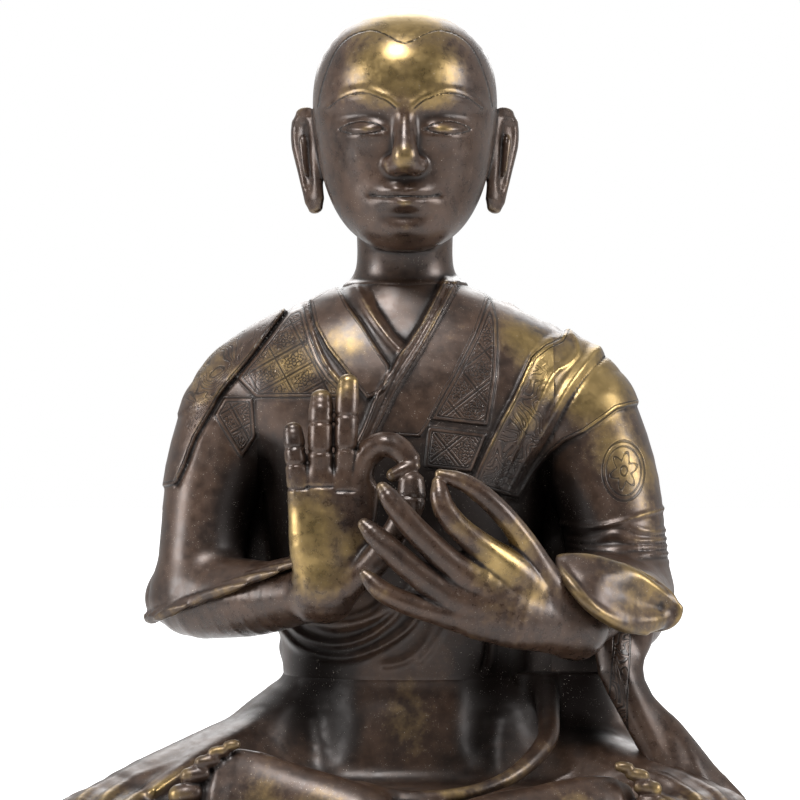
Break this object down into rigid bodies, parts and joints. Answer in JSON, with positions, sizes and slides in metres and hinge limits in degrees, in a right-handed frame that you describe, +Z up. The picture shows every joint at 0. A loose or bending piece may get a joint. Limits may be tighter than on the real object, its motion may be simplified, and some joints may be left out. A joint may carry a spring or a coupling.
{
  "type": "seated figure statue",
  "caption": "Seated robed teaching figure of patinated cast bronze, legs crossed and both hands raised before the chest, on a low oval cushion base.",
  "frame": {"origin": "on the table, at the centre of the bounding box of the cushion base's underside", "axes": "+Z up, the figure faces -Y, +X is the figure's own left and runs along the cushion's width"},
  "size_m": [0.32, 0.212, 0.3901],
  "materials": {
    "bronze": "dark brown patina, worn to olive gold on high places, satin gloss",
    "bronze_hands": "brown patina, more worn and glossy than the robes",
    "bronze_base": "dark brown patina, satin",
    "copper_sheet": "hammered sheet, dull",
    "rivet_bronze": "filed flush",
    "pole_wood": "bare planed wood"
  },
  "bodies": {
    "root": {"cushion_base": "bronze_base", "base_plate": "copper_sheet", "life_pole": "pole_wood", "lap": "bronze", "deck_wedges": "rivet_bronze", "torso": "bronze", "waist_dowels": "rivet_bronze", "right_sleeve": "bronze", "left_sleeve": "bronze", "shoulder_rivets": "rivet_bronze", "right_hand": "bronze_hands", "left_hand": "bronze_hands", "wrist_rivets": "rivet_bronze", "shawl_end": "bronze", "head": "bronze", "neck_rivet": "rivet_bronze"}
  },
  "joints": []
}
